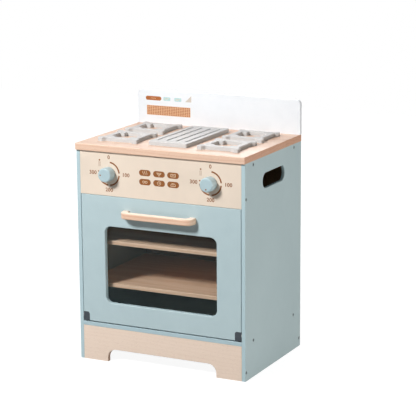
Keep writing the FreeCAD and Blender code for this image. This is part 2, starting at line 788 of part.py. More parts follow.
def hinge_pins():
    """A steel pin from each side into the door's edge."""
    pins = []
    for side in SIDES.values():
        start = (side * (DOOR_HALF - 11.0), HINGE_Y, HINGE_Z)
        end = (side * (INNER + BUSH_DEPTH - 0.5), HINGE_Y, HINGE_Z)
        pins.append(rod(HINGE_PIN_RADIUS, start, end))
    return pins


def hinge_bushes():
    """A plastic bush in each side, whose flange spaces the door from the board."""
    bushes = []
    for side in SIDES.values():
        mouth = side * INNER
        body = rod(BUSH_RADIUS, (mouth, HINGE_Y, HINGE_Z), (mouth + side * BUSH_DEPTH, HINGE_Y, HINGE_Z))
        flange = rod(BUSH_FLANGE_RADIUS, (mouth - side * BUSH_FLANGE, HINGE_Y, HINGE_Z), (mouth, HINGE_Y, HINGE_Z))
        floor = mouth + side * (BUSH_DEPTH - 0.5)
        bore = rod(HINGE_PIN_RADIUS + FIT, (mouth - side * 5, HINGE_Y, HINGE_Z), (floor, HINGE_Y, HINGE_Z))
        bushes.append(body.fuse(flange).removeSplitter().cut(bore))
    return bushes


CATCH_HALF = 22.0
CATCH_GAP = 0.35
CATCH_FRONT = DOOR_BACK + STRIKE_SHEET + CATCH_GAP
CATCH_BACK = CATCH_FRONT + 14.0
CATCH_SPLIT_Z = FASCIA_BOTTOM + 0.5
CATCH_BOTTOM = STRIKE_Z - 8.0
CATCH_TOP = CATCH_SPLIT_Z + 18.0
MAGNET_HALF = 9.0
MAGNET_HALF_HEIGHT = 4.0
MAGNET_DEPTH = 8.0
CATCH_SCREW = {"length": 22.0, "shank": 1.5}
CATCH_SCREW_HEAD = 3.0
CATCH_SCREW_CAP = 1.8


def catch_screw_seats():
    z = (CATCH_SPLIT_Z + CATCH_TOP) / 2
    return [((side * 14.0, CATCH_BACK, z), (0, -1, 0)) for side in SIDES.values()]


def catch_screw_bores():
    return [screw_bore(point, way, **CATCH_SCREW) for point, way in catch_screw_seats()]


def catch_housing():
    """The plastic block behind the control panel that holds the door's magnet."""
    upper = block((-CATCH_HALF, CATCH_HALF), (FASCIA_BACK, CATCH_BACK), (CATCH_SPLIT_Z, CATCH_TOP))
    lower = block((-CATCH_HALF, CATCH_HALF), (CATCH_FRONT, CATCH_BACK), (CATCH_BOTTOM, CATCH_SPLIT_Z))
    housing = upper.fuse(lower).removeSplitter()
    housing = soften(housing, 1.5, lambda middle, edge: middle.y > CATCH_BACK - 1e-3)
    return drilled(housing, [catch_magnet()] + catch_screw_bores())


def catch_magnet():
    """The magnet, flush in the front of its housing."""
    return block(
        (-MAGNET_HALF, MAGNET_HALF),
        (CATCH_FRONT, CATCH_FRONT + MAGNET_DEPTH),
        (STRIKE_Z - MAGNET_HALF_HEIGHT, STRIKE_Z + MAGNET_HALF_HEIGHT),
    )


# ---------------------------------------------------------------- knobs and their click works

WASHER_THICKNESS = 0.8
KNOB_BORE_DEPTH = 12.0
CLICK_THICKNESS = 6.0
CLICK_GAP = 0.6
CLICK_FRONT = FASCIA_BACK + CLICK_GAP
CLICK_BACK = CLICK_FRONT + CLICK_THICKNESS
NOTCH_RADIUS = 1.7
AXLE_FRONT = FRONT - WASHER_THICKNESS - KNOB_BORE_DEPTH
AXLE_SCREW = {"length": 16.0, "shank": 1.5}
AXLE_SCREW_HEAD = 3.4
AXLE_SCREW_CAP = 2.2
END_WASHER_RADIUS = 7.5
END_WASHER_THICKNESS = 1.0
SPRING_SHEET = 0.6
SPRING_NOSE = 1.2
SPRING_CLEARANCE = 0.2
SPRING_RUN = 16.0
SPRING_FOOT = 11.0
SPRING_SCREW = {"length": 7.0, "shank": 1.25}
SPRING_SCREW_HEAD = 2.6
SPRING_SCREW_CAP = 1.4


def axle_screw_seat(x):
    return (x, CLICK_BACK + END_WASHER_THICKNESS, KNOB_Z), (0, -1, 0)


def axle_screw_bore(x):
    point, way = axle_screw_seat(x)
    return screw_bore(point, way, **AXLE_SCREW)


def knob(x):
    """A turned wooden knob with a softened face, bored at the back for its axle."""
    back = FRONT - WASHER_THICKNESS
    face = FRONT - KNOB_REACH
    body = rod(KNOB_RADIUS, (x, back, KNOB_Z), (x, face, KNOB_Z))
    front_rim = [edge for edge in body.Edges if edge.Closed and abs(edge.CenterOfMass.y - face) < 1e-6]
    body = body.makeFillet(3.2, front_rim)
    back_rim = [edge for edge in body.Edges if edge.Closed and abs(edge.CenterOfMass.y - back) < 1e-6]
    body = body.makeFillet(0.8, back_rim)
    return body.cut(rod(AXLE_RADIUS + FIT, (x, back + 1, KNOB_Z), (x, AXLE_FRONT - FIT, KNOB_Z)))


def knob_washer(x):
    """The thin washer that the knob turns against."""
    disc = rod(9.0, (x, FRONT - WASHER_THICKNESS, KNOB_Z), (x, FRONT - 0.05, KNOB_Z))
    return disc.cut(rod(AXLE_RADIUS + FIT, (x, FRONT - 5, KNOB_Z), (x, FRONT + 5, KNOB_Z)))


def knob_axle(x):
    """The dowel from the knob through the control panel to the click wheel."""
    axle = rod(AXLE_RADIUS, (x, AXLE_FRONT, KNOB_Z), (x, CLICK_BACK, KNOB_Z))
    return axle.cut(axle_screw_bore(x))


def click_wheel(x):
    """A wheel with a round notch for each click, held on the axle's end."""
    wheel = rod(CLICK_RADIUS, (x, CLICK_FRONT, KNOB_Z), (x, CLICK_BACK, KNOB_Z))
    bores = [rod(AXLE_RADIUS + FIT, (x, CLICK_FRONT - 1, KNOB_Z), (x, CLICK_BACK + 1, KNOB_Z))]
    for index in range(CLICK_COUNT):
        angle = 2 * math.pi * index / CLICK_COUNT
        notch_x = x + CLICK_RADIUS * math.cos(angle)
        notch_z = KNOB_Z + CLICK_RADIUS * math.sin(angle)
        bores.append(rod(NOTCH_RADIUS, (notch_x, CLICK_FRONT - 1, notch_z), (notch_x, CLICK_BACK + 1, notch_z)))
    return drilled(wheel, bores)


def end_washer(x):
    """The washer under the axle screw's head, which keeps the click wheel on."""
    disc = rod(END_WASHER_RADIUS, (x, CLICK_BACK, KNOB_Z), (x, CLICK_BACK + END_WASHER_THICKNESS, KNOB_Z))
    return disc.cut(axle_screw_bore(x))


def spring_leaf_x(x):
    """The near face of the spring leaf, beside the click wheel on the kitchen's middle side."""
    side = 1 if x < 0 else -1
    return side, x + side * (CLICK_RADIUS + SPRING_CLEARANCE + SPRING_NOSE)


def click_spring_seat(x):
    side, leaf = spring_leaf_x(x)
    return (leaf + side * (SPRING_FOOT / 2 + SPRING_SHEET), FASCIA_BACK + SPRING_SHEET, KNOB_Z), (0, -1, 0)


def click_spring_bore(x):
    point, way = click_spring_seat(x)
    return screw_bore(point, way, **SPRING_SCREW)


def click_spring(x):
    """A bent steel spring: a foot screwed to the control panel and a leaf with a nose by the wheel."""
    side, leaf = spring_leaf_x(x)
    tall = (KNOB_Z - SPRING_RUN / 2, KNOB_Z + SPRING_RUN / 2)
    foot = block((leaf, leaf + side * (SPRING_FOOT + SPRING_SHEET)), (FASCIA_BACK, FASCIA_BACK + SPRING_SHEET), tall)
    blade = block((leaf, leaf + side * SPRING_SHEET), (FASCIA_BACK, CLICK_BACK), tall)
    nose = rod(SPRING_NOSE, (leaf, CLICK_FRONT + 0.4, KNOB_Z), (leaf, CLICK_BACK - 0.4, KNOB_Z))
    near_wheel = block((leaf - side * 5, leaf), (FASCIA_BACK, CLICK_BACK), tall)
    spring = foot.fuse([blade, nose.common(near_wheel)]).removeSplitter()
    return spring.cut(click_spring_bore(x))


# ---------------------------------------------------------------- the whole kitchen

def cabinet_nodes():
    nodes = {
        "control_panel": control_panel(),
        "plinth": plinth(),
        "rear_rail": rear_rail(),
        "bottom_board": bottom_board(),
        "back_panel": back_panel(),
        "countertop": countertop(),
        "backsplash": backsplash(),
        "griddle_plate": griddle_plate(),
        "catch_housing": catch_housing(),
        "catch_magnet": catch_magnet(),
    }
    for name, side in SIDES.items():
        nodes[name + "_side_panel"] = side_panel(side)
        nodes[name + "_top_batten"] = top_batten(side)
        nodes[name + "_click_spring"] = click_spring(side * KNOB_X)
    for name in SHELF_BOTTOMS:
        nodes[name + "_shelf"] = shelf(name)
    for name, (x, y) in grate_places().items():
        nodes[name] = grate(x, y)
    return nodes


def cabinet_groups():
    spring_seats = [click_spring_seat(side * KNOB_X) for side in SIDES.values()]
    caps = {"head": SPRING_SCREW_HEAD, "thickness": SPRING_SCREW_CAP}
    catch_caps = {"head": CATCH_SCREW_HEAD, "thickness": CATCH_SCREW_CAP}
    return {
        "side_screws": side_screws(),
        "panel_dowels": dowels(),
        "shelf_pegs": pegs(peg_places(), PEG_RADIUS),
        "door_stop_pegs": pegs([STOP_PLACE], STOP_RADIUS),
        "hinge_pins": hinge_pins(),
        "hinge_bushes": hinge_bushes(),
        "batten_screws": [countersunk_screw(p, d, **BATTEN_SCREW) for p, d in batten_screw_seats()],
        "backsplash_screws": [countersunk_screw(p, d, **SPLASH_SCREW) for p, d in splash_screw_seats()],
        "hob_screws": [countersunk_screw(p, d, **HOB_SCREW) for p, d in hob_screw_seats()],
        "back_panel_screws": [countersunk_screw(p, d, **BACK_SCREW) for p, d in back_screw_seats()],
        "catch_screws": [pan_screw(p, d, **CATCH_SCREW, **catch_caps) for p, d in catch_screw_seats()],
        "click_spring_screws": [pan_screw(p, d, **SPRING_SCREW, **caps) for p, d in spring_seats],
    }


def door_nodes():
    nodes = {
        "oven_door": oven_door(),
        "door_window": door_window(),
        "door_handle": door_handle(),
        "strike_plate": strike_plate(),
    }
    for name, side in SIDES.items():
        nodes[name + "_hinge_plate"] = hinge_plate(side)
    return nodes


def door_groups():
    pane_caps = {"head": PANE_SCREW_HEAD, "thickness": PANE_SCREW_CAP}
    handle_caps = {"head": HANDLE_SCREW_HEAD, "thickness": HANDLE_SCREW_CAP}
    return {
        "window_screws": [pan_screw(p, d, **PANE_SCREW, **pane_caps) for p, d in pane_screw_seats()],
        "handle_screws": [pan_screw(p, d, **HANDLE_SCREW, **handle_caps) for p, d in handle_screw_seats()],
        "hinge_plate_screws": [countersunk_screw(p, d, **PLATE_SCREW) for p, d in plate_screw_seats()],
        "strike_screws": [countersunk_screw(p, d, **STRIKE_SCREW) for p, d in strike_screw_seats()],
    }


def knob_nodes():
    nodes = {}
    caps = {"head": AXLE_SCREW_HEAD, "thickness": AXLE_SCREW_CAP}
    for name, side in SIDES.items():
        x = side * KNOB_X
        point, way = axle_screw_seat(x)
        nodes[name + "_knob"] = knob(x)
        nodes[name + "_knob_washer"] = knob_washer(x)
        nodes[name + "_knob_axle"] = knob_axle(x)
        nodes[name + "_click_wheel"] = click_wheel(x)
        nodes[name + "_end_washer"] = end_washer(x)
        nodes[name + "_axle_screw"] = pan_screw(point, way, **AXLE_SCREW, **caps)
    return nodes


os.makedirs("parts", exist_ok=True)
for node, shape in {**cabinet_nodes(), **door_nodes(), **knob_nodes()}.items():
    export(node, shape)
for node, solids in {**cabinet_groups(), **door_groups()}.items():
    export(node, Part.makeCompound(solids))
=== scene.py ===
"""Toy kitchen: a painted cabinet with an oven door, knobs, wooden worktop, pan grates and griddle."""
import math

import bmesh
import bpy
from mathutils import Matrix, Vector


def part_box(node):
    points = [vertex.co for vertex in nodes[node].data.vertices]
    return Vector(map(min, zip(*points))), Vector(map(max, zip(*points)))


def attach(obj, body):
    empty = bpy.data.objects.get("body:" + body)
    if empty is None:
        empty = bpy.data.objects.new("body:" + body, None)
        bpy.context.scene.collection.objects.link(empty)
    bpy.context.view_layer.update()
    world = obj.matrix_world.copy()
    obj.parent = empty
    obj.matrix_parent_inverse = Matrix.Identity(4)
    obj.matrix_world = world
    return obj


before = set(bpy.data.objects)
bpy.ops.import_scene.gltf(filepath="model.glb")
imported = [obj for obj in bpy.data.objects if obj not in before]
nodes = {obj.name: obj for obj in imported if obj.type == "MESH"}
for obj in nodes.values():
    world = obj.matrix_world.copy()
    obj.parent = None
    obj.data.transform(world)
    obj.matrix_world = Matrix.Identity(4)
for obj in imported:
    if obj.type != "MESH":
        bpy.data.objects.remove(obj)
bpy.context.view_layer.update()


# ------------------------------------------------------------------ side panels
# Two upright boards of fibreboard, sprayed in a matt pale blue, each with a
# hand-hole near its top. Dowels and screws hold the cross boards between them.
# The sawn edges drink more paint, so they dry duller.

class Signal:
    """One output socket of a finish. Arithmetic on it adds Math nodes."""

    def __init__(self, finish, socket):
        self.finish = finish
        self.socket = socket

    def also(self, name):
        return Signal(self.finish, self.socket.node.outputs[name])

    def maths(self, operation, *values):
        """A Math node on these values, or on this one alone."""
        return self.finish.node("Math", {"operation": operation}, values or [self])

    def __add__(self, other):
        return self.maths("ADD", self, other)

    def __sub__(self, other):
        return self.maths("SUBTRACT", self, other)

    def __rsub__(self, other):
        return self.maths("SUBTRACT", other, self)

    def __mul__(self, other):
        return self.maths("MULTIPLY", self, other)

    def __truediv__(self, other):
        return self.maths("DIVIDE", self, other)

    def __pow__(self, other):
        return self.maths("POWER", self, other)

    def __abs__(self):
        return self.maths("ABSOLUTE")

    def band(self, low, high):
        """0 below low, 1 above high, and a soft step between them."""
        settings = {"interpolation_type": "SMOOTHSTEP"}
        inputs = {"Value": self, "From Min": low, "From Max": high}
        return self.finish.node("MapRange", settings, inputs)

    __radd__ = __add__
    __rmul__ = __mul__


class Nodes:
    """The shader nodes of a material or of the sky."""

    def __init__(self, owner):
        self.owner = owner
        owner.use_nodes = True
        self.tree = owner.node_tree
        self.tree.nodes.clear()

    def node(self, kind, settings=None, inputs=(), output=0):
        """Adds one node: its settings first, then the values or links of its sockets."""
        made = self.tree.nodes.new("ShaderNode" + kind)
        for name, value in (settings or {}).items():
            setattr(made, name, value)
        pairs = inputs.items() if isinstance(inputs, dict) else enumerate(inputs)
        for name, value in pairs:
            if isinstance(value, Signal):
                self.tree.links.new(value.socket, made.inputs[name])
            else:
                made.inputs[name].default_value = value
        return Signal(self, made.outputs[output]) if len(made.outputs) else None


class Finish(Nodes):
    """A procedural surface whose patterns lie on the piece's own coordinates."""

    def __init__(self, name):
        super().__init__(bpy.data.materials.new(name))
        self.place = self.node("TexCoord", output="Object")

    def parts(self, vector):
        """The X, Y and Z of a vector."""
        x = self.node("SeparateXYZ", None, [vector])
        return x, x.also("Y"), x.also("Z")

    def facing(self, axis, low, high):
        """1 where the surface looks along an axis, to either side, and 0 where it looks elsewhere."""
        normal = self.node("TexCoord", output="Normal")
        return abs(self.parts(normal)[axis]).band(low, high)

    def noise(self, stretch, detail=2.0, roughness=0.5, place=None):
        """Smooth random values, with about stretch features a metre, one number or one for each axis."""
        scale = stretch if isinstance(stretch, tuple) else (stretch, stretch, stretch)
        scaled = self.node("Mapping", None, {"Vector": place or self.place, "Scale": scale})
        inputs = {"Vector": scaled, "Scale": 1.0, "Detail": detail, "Roughness": roughness}
        return self.node("TexNoise", None, inputs)

    def blend(self, factor, first, second, how="MIX"):
        """Mixes two colours, which are the Mix node's seventh and eighth sockets."""
        settings = {"data_type": "RGBA", "blend_type": how, "clamp_factor": True}
        return self.node("Mix", settings, {0: factor, 6: first, 7: second}, output=2)

    def relief(self, height, depth, strength):
        """A bump of the given depth in metres."""
        return self.node("Bump", None, {"Height": height, "Distance": depth, "Strength": strength})

    def done(self, inputs):
        """Closes the finish with the surface shader, and gives its material."""
        shader = self.node("BsdfPrincipled", None, inputs)
        self.node("OutputMaterial", None, {"Surface": shader})
        return self.owner


def tint(red, green, blue):
    """A colour named in everyday 0 to 255 steps, as the linear values that a shader takes."""
    def linear(step):
        share = step / 255
        return share / 12.92 if share <= 0.04045 else ((share + 0.055) / 1.055) ** 2.4
    return (linear(red), linear(green), linear(blue), 1.0)


def toned(colour, red, green, blue):
    """The colour with each of its channels multiplied."""
    shares = zip(colour, (red, green, blue))
    return (*(min(value * share, 1.0) for value, share in shares), 1.0)


def paint(name, colour, gloss=0.48, edge_axis=None, peel=1.0):
    """Sprayed paint: faint cloudiness, dust nibs and orange peel.

    A board whose thickness lies along edge_axis is fibrous and duller on its sawn edges.
    """
    finish = Finish(name)
    cloud = finish.noise(5.0, detail=3.0)
    patch = finish.noise(46.0, detail=4.0, roughness=0.6)
    fine = finish.noise(900.0)
    skin = finish.noise(420.0, detail=1.0)
    nibs = finish.noise(1500.0, detail=0.0).band(0.74, 0.82)
    deep = toned(colour, 0.945, 0.955, 0.96)
    pale = toned(colour, 1.03, 1.028, 1.025)
    shade = (cloud * 0.55 + patch * 0.3 + fine * 0.15).band(0.28, 0.72)
    base = finish.blend(shade, deep, pale)
    rough = gloss + patch * 0.1 + nibs * 0.12
    height = skin * (0.5 * peel) + fine * 0.18 + nibs * 0.5
    if edge_axis is not None:
        sawn = 1.0 - finish.facing(edge_axis, 0.2, 0.75)
        fibre = finish.noise(2600.0)
        edge_tone = toned(colour, 0.97, 1.03, 1.06)
        base = finish.blend(sawn * (0.55 + fibre * 0.4), base, edge_tone)
        rough = rough + sawn * 0.1
        height = height + sawn * fibre * 0.35
    return finish.done({
        "Base Color": base, "Roughness": rough, "Normal": finish.relief(height, 0.00012, 0.5),
        "IOR": 1.48, "Coat Weight": 0.14, "Coat Roughness": 0.26,
    })


def dress(material, *names):
    """Gives these CAD nodes the material."""
    for name in names:
        for place in nodes[name].material_slots:
            place.material = material


side_paint = paint("side_paint", tint(175, 195, 200), gloss=0.5, edge_axis=0)
dress(side_paint, "left_side_panel", "right_side_panel")


# ------------------------------------------------------------------ bottom board
# The fibreboard under the oven, on dowels and screws between the side panels.
# It is sprayed blue all round, and its front edge shows below the door.

board_paint = paint("board_paint", tint(170, 190, 196), gloss=0.5, edge_axis=2)
dress(board_paint, "bottom_board")


# ------------------------------------------------------------------ plinth, rear rail and battens
# Foot boards and rails of veneered board in a natural, slightly pink wood,
# under a thin clear lacquer, screwed to the side panels. Their grain runs
# across the kitchen, but from front to back in the battens.

def timber(
    name, pale, dark, along=0, stave=0.0, figure=1.0, gloss=0.46, coat=0.12,
    end_tone=(0.70, 0.55, 0.47), painted_front_shade=None,
):
    """Lacquered timber: growth rings round a pith below the board, fibres, flecks and end grain.

    The grain runs along X, or along Y where along is 1. A stave width makes it glued staves.
    Faces that look forward or back can be darkened by a given factor: painted shade, as the top takes
    more light.
    """
    finish = Finish(name)
    turn = (0.0, 0.0, -along * math.pi / 2)
    place = finish.node("Mapping", None, {"Vector": finish.place, "Rotation": turn})
    _, across, up = finish.parts(place)
    fleck_tone = toned(dark, 0.74, 0.74, 0.74)
    if stave:
        first_joint = 0.31
        number = (across / stave + first_joint).maths("FLOOR")
        luck = finish.node("TexWhiteNoise", {"noise_dimensions": "1D"}, {"W": number})
        from_middle = across - (number + (0.5 - first_joint)) * stave
        glue_line = (abs(from_middle) * (2.0 / stave)).band(0.955, 0.995)
        shift = finish.node("CombineXYZ", None, [luck * 3.0, luck * 1.7, luck * 0.9])
        place = finish.node("VectorMath", {"operation": "ADD"}, [place, shift])
        sideways = from_middle + (luck - 0.5) * 0.05
    else:
        sideways = across * 0.8 + 0.015
    wander = finish.noise((1.6, 10.0, 10.0), detail=3.0, place=place)
    pith_depth = 0.09
    ring_gap = 0.0052
    depth = up * 0.7 + pith_depth
    radius = (sideways * sideways + depth * depth).maths("SQRT")
    ring = ((radius + wander * 0.022) * (2 * math.pi / ring_gap)).maths("SINE")
    ring = (ring * 0.5 + 0.5) ** 2.2
    fibre = finish.noise((26.0, 620.0, 620.0), detail=3.0, roughness=0.6, place=place)
    thread = finish.noise((60.0, 1900.0, 1900.0), place=place)
    fleck = finish.noise((170.0, 1250.0, 1250.0), detail=1.0, place=place).band(0.60, 0.72)
    cloud = finish.noise((3.0, 14.0, 14.0), place=place)
    tone = ring * (0.34 * figure) + fibre * 0.34 + thread * 0.14 + cloud * 0.3 - 0.16
    if stave:
        tone = tone + (luck - 0.5) * 0.26
    base = finish.blend(tone.band(0.0, 1.0), pale, dark)
    base = finish.blend(fleck * 0.34, base, fleck_tone)
    if stave:
        base = finish.blend(glue_line * 0.3, base, fleck_tone)
    # Painted shade: faces that look forward or back are darkened, as the top takes more light.
    if painted_front_shade:
        painted_front_colour = finish.blend(1.0, base, (*painted_front_shade, 1.0), "MULTIPLY")
        base = finish.blend(finish.facing(1, 0.45, 0.85), base, painted_front_colour)
    end = finish.facing(along, 0.55, 0.85)
    pores = finish.noise(2200.0).band(0.42, 0.7)
    end_colour = finish.blend(1.0, base, (*end_tone, 1.0), "MULTIPLY")
    end_colour = finish.blend(pores * 0.35, end_colour, fleck_tone)
    base = finish.blend(end, base, end_colour)
    height = fibre * 0.5 + thread * 0.3 - ring * (0.25 * figure) - fleck * 0.5
    rough = gloss + fibre * 0.12 - ring * 0.06 + fleck * 0.1 + end * 0.14
    return finish.done({
        "Base Color": base, "Roughness": rough, "Normal": finish.relief(height, 0.00016, 0.45),
        "IOR": 1.5, "Coat Weight": coat, "Coat Roughness": 0.3,
    })


plinth_wood = timber("plinth_wood", tint(231, 212, 196), tint(216, 192, 173), figure=0.35, gloss=0.5)
dress(plinth_wood, "plinth", "rear_rail")
batten_wood = timber("batten_wood", tint(232, 208, 184), tint(206, 172, 140), along=1)
dress(batten_wood, "left_top_batten", "right_top_batten")


# ------------------------------------------------------------------ oven shelves
# Two thin boards of pale veneered wood under clear lacquer. Each lies loose
# on four beech pegs in the side panels.

shelf_wood = timber("shelf_wood", tint(236, 206, 178), tint(212, 170, 134))
dress(shelf_wood, "lower_shelf", "upper_shelf")


# ------------------------------------------------------------------ back board
# A thin sheet of brown hardboard, pressed from wood fibres that show in its
# face. It is screwed on from behind and stiffens the cabinet.

def hardboard(name):
    """Pressed fibre: chips and threads of brown, with a few dark ones."""
    finish = Finish(name)
    chips = finish.noise(260.0, detail=6.0, roughness=0.7)
    threads = finish.noise((1400.0, 1400.0, 220.0), detail=3.0)
    cloud = finish.noise(7.0)
    dark_fibre = finish.noise((900.0, 900.0, 700.0)).band(0.62, 0.7)
    tone = (chips * 0.5 + threads * 0.3 + cloud * 0.2).band(0.3, 0.7)
    base = finish.blend(tone, tint(112, 88, 64), tint(150, 120, 90))
    base = finish.blend(dark_fibre * 0.6, base, tint(76, 55, 38))
    normal = finish.relief(chips * 0.6 + threads * 0.4, 0.0002, 0.5)
    return finish.done({"Base Color": base, "Roughness": 0.62 + chips * 0.2, "Normal": normal})


dress(hardboard("hardboard"), "back_panel")


# ------------------------------------------------------------------ worktop
# A solid worktop of glued staves with softened edges, lacquered, and screwed
# from below through the battens. The staves run across the kitchen, so their
# end grain shows at both sides.

worktop_wood = timber(
    "worktop_wood", tint(221, 189, 167), tint(197, 151, 120), stave=0.043, figure=0.8, gloss=0.42,
    coat=0.4, end_tone=(0.86, 0.70, 0.62),
)
dress(worktop_wood, "countertop")


# ------------------------------------------------------------------ backsplash
# A white lacquered fibreboard with round upper corners. It stands on the
# back of the worktop, and screws from below hold it.

splash_lacquer = paint("splash_lacquer", tint(227, 232, 237), gloss=0.34, peel=0.6)
dress(splash_lacquer, "backsplash")


# ------------------------------------------------------------------ pan grates and griddle
# Four grates and a slotted griddle plate, cut from board, with softened rims
# and a matt, very pale warm grey paint. Screws from below the worktop hold
# them.

hob_paint = paint("hob_paint", tint(193, 191, 190), gloss=0.5, edge_axis=2, peel=1.3)
GRATES = ["front_left_grate", "front_right_grate", "rear_left_grate", "rear_right_grate"]
dress(hob_paint, "griddle_plate", *GRATES)


# ------------------------------------------------------------------ control panel
# The board above the door, sprayed with a cream lacquer, on dowels and screws
# between the side panels. The knobs' axles go through it.

panel_lacquer = paint("panel_lacquer", tint(223, 208, 192), gloss=0.44, peel=0.6)
dress(panel_lacquer, "control_panel")


# ------------------------------------------------------------------ printed dials
# Screen-printed scales round the knobs: three brown arcs and the numbers 0 to
# 300, with a small thermometer. The ink stands a hair above the lacquer.
# Printed pieces are drawn in millimetres.

MM = 0.001
INK = 0.12
FACE_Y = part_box("control_panel")[0].y / MM
KNOB_X = 123.0
KNOB_Z = 428.0
DIAL_RADIUS = 25.4
DIAL_LINE = 3.3
FIGURES = [("0", 0.0, 36.0), ("100", 42.0, 0.0), ("200", 0.0, -36.0), ("300", -40.0, 0.0)]
FIGURE_HEIGHT = 11.5
BULB_RADIUS = 1.9
THERMOMETER_X = -23.0
BULB_UP = 29.0
STEM_UP = 20.5
STEM_SIZE = (0.7, 11.0)
STEM_APART = 1.5


def ink(name, colour):
    """Opaque screen ink: fine mottling, pinholes and a slightly raised grain."""
    finish = Finish(name)
    mottle = finish.noise(700.0, detail=3.0, roughness=0.6)
    holes = finish.noise(2400.0, detail=1.0).band(0.66, 0.74)
    dark = toned(colour, 0.86, 0.84, 0.82)
    pale = toned(colour, 1.1, 1.1, 1.1)
    base = finish.blend(mottle.band(0.3, 0.7), dark, pale)
    base = finish.blend(holes * 0.3, base, tint(240, 226, 208))
    normal = finish.relief(mottle, 0.00005, 0.4)
    return finish.done({"Base Color": base, "Roughness": 0.5 + mottle * 0.12, "Normal": normal})


brown_ink = ink("brown_ink", tint(136, 80, 28))
cream_ink = ink("cream_ink", tint(228, 204, 172))


def placed(data, name, material, body):
    """Makes a finished mesh a piece that rides on a body."""
    data.materials.clear()
    data.materials.append(material)
    piece = bpy.data.objects.new(name, data)
    bpy.context.scene.collection.objects.link(piece)
    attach(piece, body)


def printed(mesh, name, material, place, body="cabinet", height=INK):
    """Gives a flat drawing its thickness of ink, and stands it up on a front face.

    The drawing's Y becomes Z, and its thickness points forward.
    """
    grown = bmesh.ops.extrude_face_region(mesh, geom=mesh.faces[:], use_keep_orig=True)["geom"]
    verts = [item for item in grown if isinstance(item, bmesh.types.BMVert)]
    bmesh.ops.translate(mesh, vec=(0, 0, height), verts=verts)
    stand = Matrix.Rotation(math.pi / 2, 3, "X")
    bmesh.ops.rotate(mesh, cent=(0, 0, 0), matrix=stand, verts=mesh.verts)
    bmesh.ops.translate(mesh, vec=place, verts=mesh.verts)
    bmesh.ops.scale(mesh, vec=(MM, MM, MM), verts=mesh.verts)
    bmesh.ops.recalc_face_normals(mesh, faces=mesh.faces)
    data = bpy.data.meshes.new(name)
    mesh.to_mesh(data)
    mesh.free()
    placed(data, name, material, body)


def drawn(curve, name, place, material):
    """Makes a curve or text a closed mesh, then stands it up in place as one piece."""
    drawing = bpy.data.objects.new(name + "_drawing", curve)
    bpy.context.scene.collection.objects.link(drawing)
    bpy.context.view_layer.update()
    data = bpy.data.meshes.new_from_object(drawing)
    bpy.data.objects.remove(drawing)
    mesh = bmesh.new()
    mesh.from_mesh(data)
    bmesh.ops.remove_doubles(mesh, verts=mesh.verts, dist=0.002 * MM)
    bmesh.ops.transform(mesh, matrix=place, verts=mesh.verts)
    bmesh.ops.recalc_face_normals(mesh, faces=mesh.faces)
    mesh.to_mesh(data)
    mesh.free()
    placed(data, name, material, "cabinet")


def standing(x, y, z):
    """Turns a drawing upright, facing forward, at a place in millimetres."""
    return Matrix.Translation((x * MM, y * MM, z * MM)) @ Matrix.Rotation(math.pi / 2, 4, "X")


def arc_strip(mesh, radius, width, start, stop):
    """A flat curved line, drawn clockwise from start to stop in degrees after twelve o'clock."""
    begin = math.radians(90 - start)
    ends = []
    for reach in (radius - width / 2, radius + width / 2):
        ends.append(mesh.verts.new((reach * math.cos(begin), reach * math.sin(begin), 0)))
    edge = mesh.edges.new(ends)
    steps = max(4, int((stop - start) / 5))
    bmesh.ops.spin(
        mesh, geom=[*ends, edge], cent=(0, 0, 0), axis=(0, 0, -1),
        angle=math.radians(stop - start), steps=steps, use_merge=False,
    )


def oblong(mesh, width, height, x=0.0, y=0.0, z=0.0, segments=1):
    """A flat oblong; gives its vertices."""
    made = bmesh.ops.create_grid(mesh, x_segments=1, y_segments=segments, size=0.5)["verts"]
    bmesh.ops.scale(mesh, vec=(width, height, 1), verts=made)
    bmesh.ops.translate(mesh, vec=(x, y, z), verts=made)
    return made


def dot(mesh, radius, x, y):
    """A flat round dot."""
    made = bmesh.ops.create_circle(mesh, cap_ends=True, radius=radius, segments=24)["verts"]
    bmesh.ops.translate(mesh, vec=(x, y, 0), verts=made)


def lettering(name, words, x, z):
    """Printed figures on the panel."""
    curve = bpy.data.curves.new(name, "FONT")
    curve.body = words
    curve.size = FIGURE_HEIGHT * MM
    curve.align_x = "CENTER"
    curve.align_y = "CENTER"
    curve.space_character = 1.08
    curve.extrude = INK * MM / 2
    curve.offset = 0.26 * MM
    drawn(curve, name, standing(x, FACE_Y - INK / 2, z), brown_ink)


for side, centre in (("left", -KNOB_X), ("right", KNOB_X)):
    mesh = bmesh.new()
    for start, stop in ((6, 84), (96, 174), (186, 264), (-84, -78)):
        arc_strip(mesh, DIAL_RADIUS, DIAL_LINE, start, stop)
    printed(mesh, side + "_dial_scale", brown_ink, (centre, FACE_Y, KNOB_Z))
    mesh = bmesh.new()
    dot(mesh, BULB_RADIUS, THERMOMETER_X, BULB_UP)
    for offset in (-STEM_APART, STEM_APART):
        oblong(mesh, *STEM_SIZE, THERMOMETER_X + offset, STEM_UP, segments=4)
    printed(mesh, side + "_dial_thermometer", brown_ink, (centre, FACE_Y, KNOB_Z))
    for words, aside, above in FIGURES:
        lettering(f"{side}_dial_{words}", words, centre + aside, KNOB_Z + above)


# ------------------------------------------------------------------ knobs
# Two turned wooden knobs in pale blue satin paint, glued on dowel axles, each
# with a brown pointer dot printed near its rim.

POINTER_REACH = 9.3
POINTER_RADIUS = 1.7
KNOB_FACE_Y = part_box("left_knob")[0].y / MM
knob_paint = paint("knob_paint", tint(169, 192, 199), gloss=0.36, peel=0.8)
dress(knob_paint, "left_knob", "right_knob")
for side, centre, angle in (("left", -KNOB_X, 180), ("right", KNOB_X, 270)):
    turn = math.radians(angle)
    mesh = bmesh.new()
    dot(mesh, POINTER_RADIUS, POINTER_REACH * math.cos(turn), POINTER_REACH * math.sin(turn))
    place = (centre, KNOB_FACE_Y, KNOB_Z)
    printed(mesh, side + "_knob_pointer", brown_ink, place, side + "_control")


# ------------------------------------------------------------------ printed buttons
# Six brown pills between the dials, screen-printed on the panel. Each has a
# simple line sign printed over it in cream.

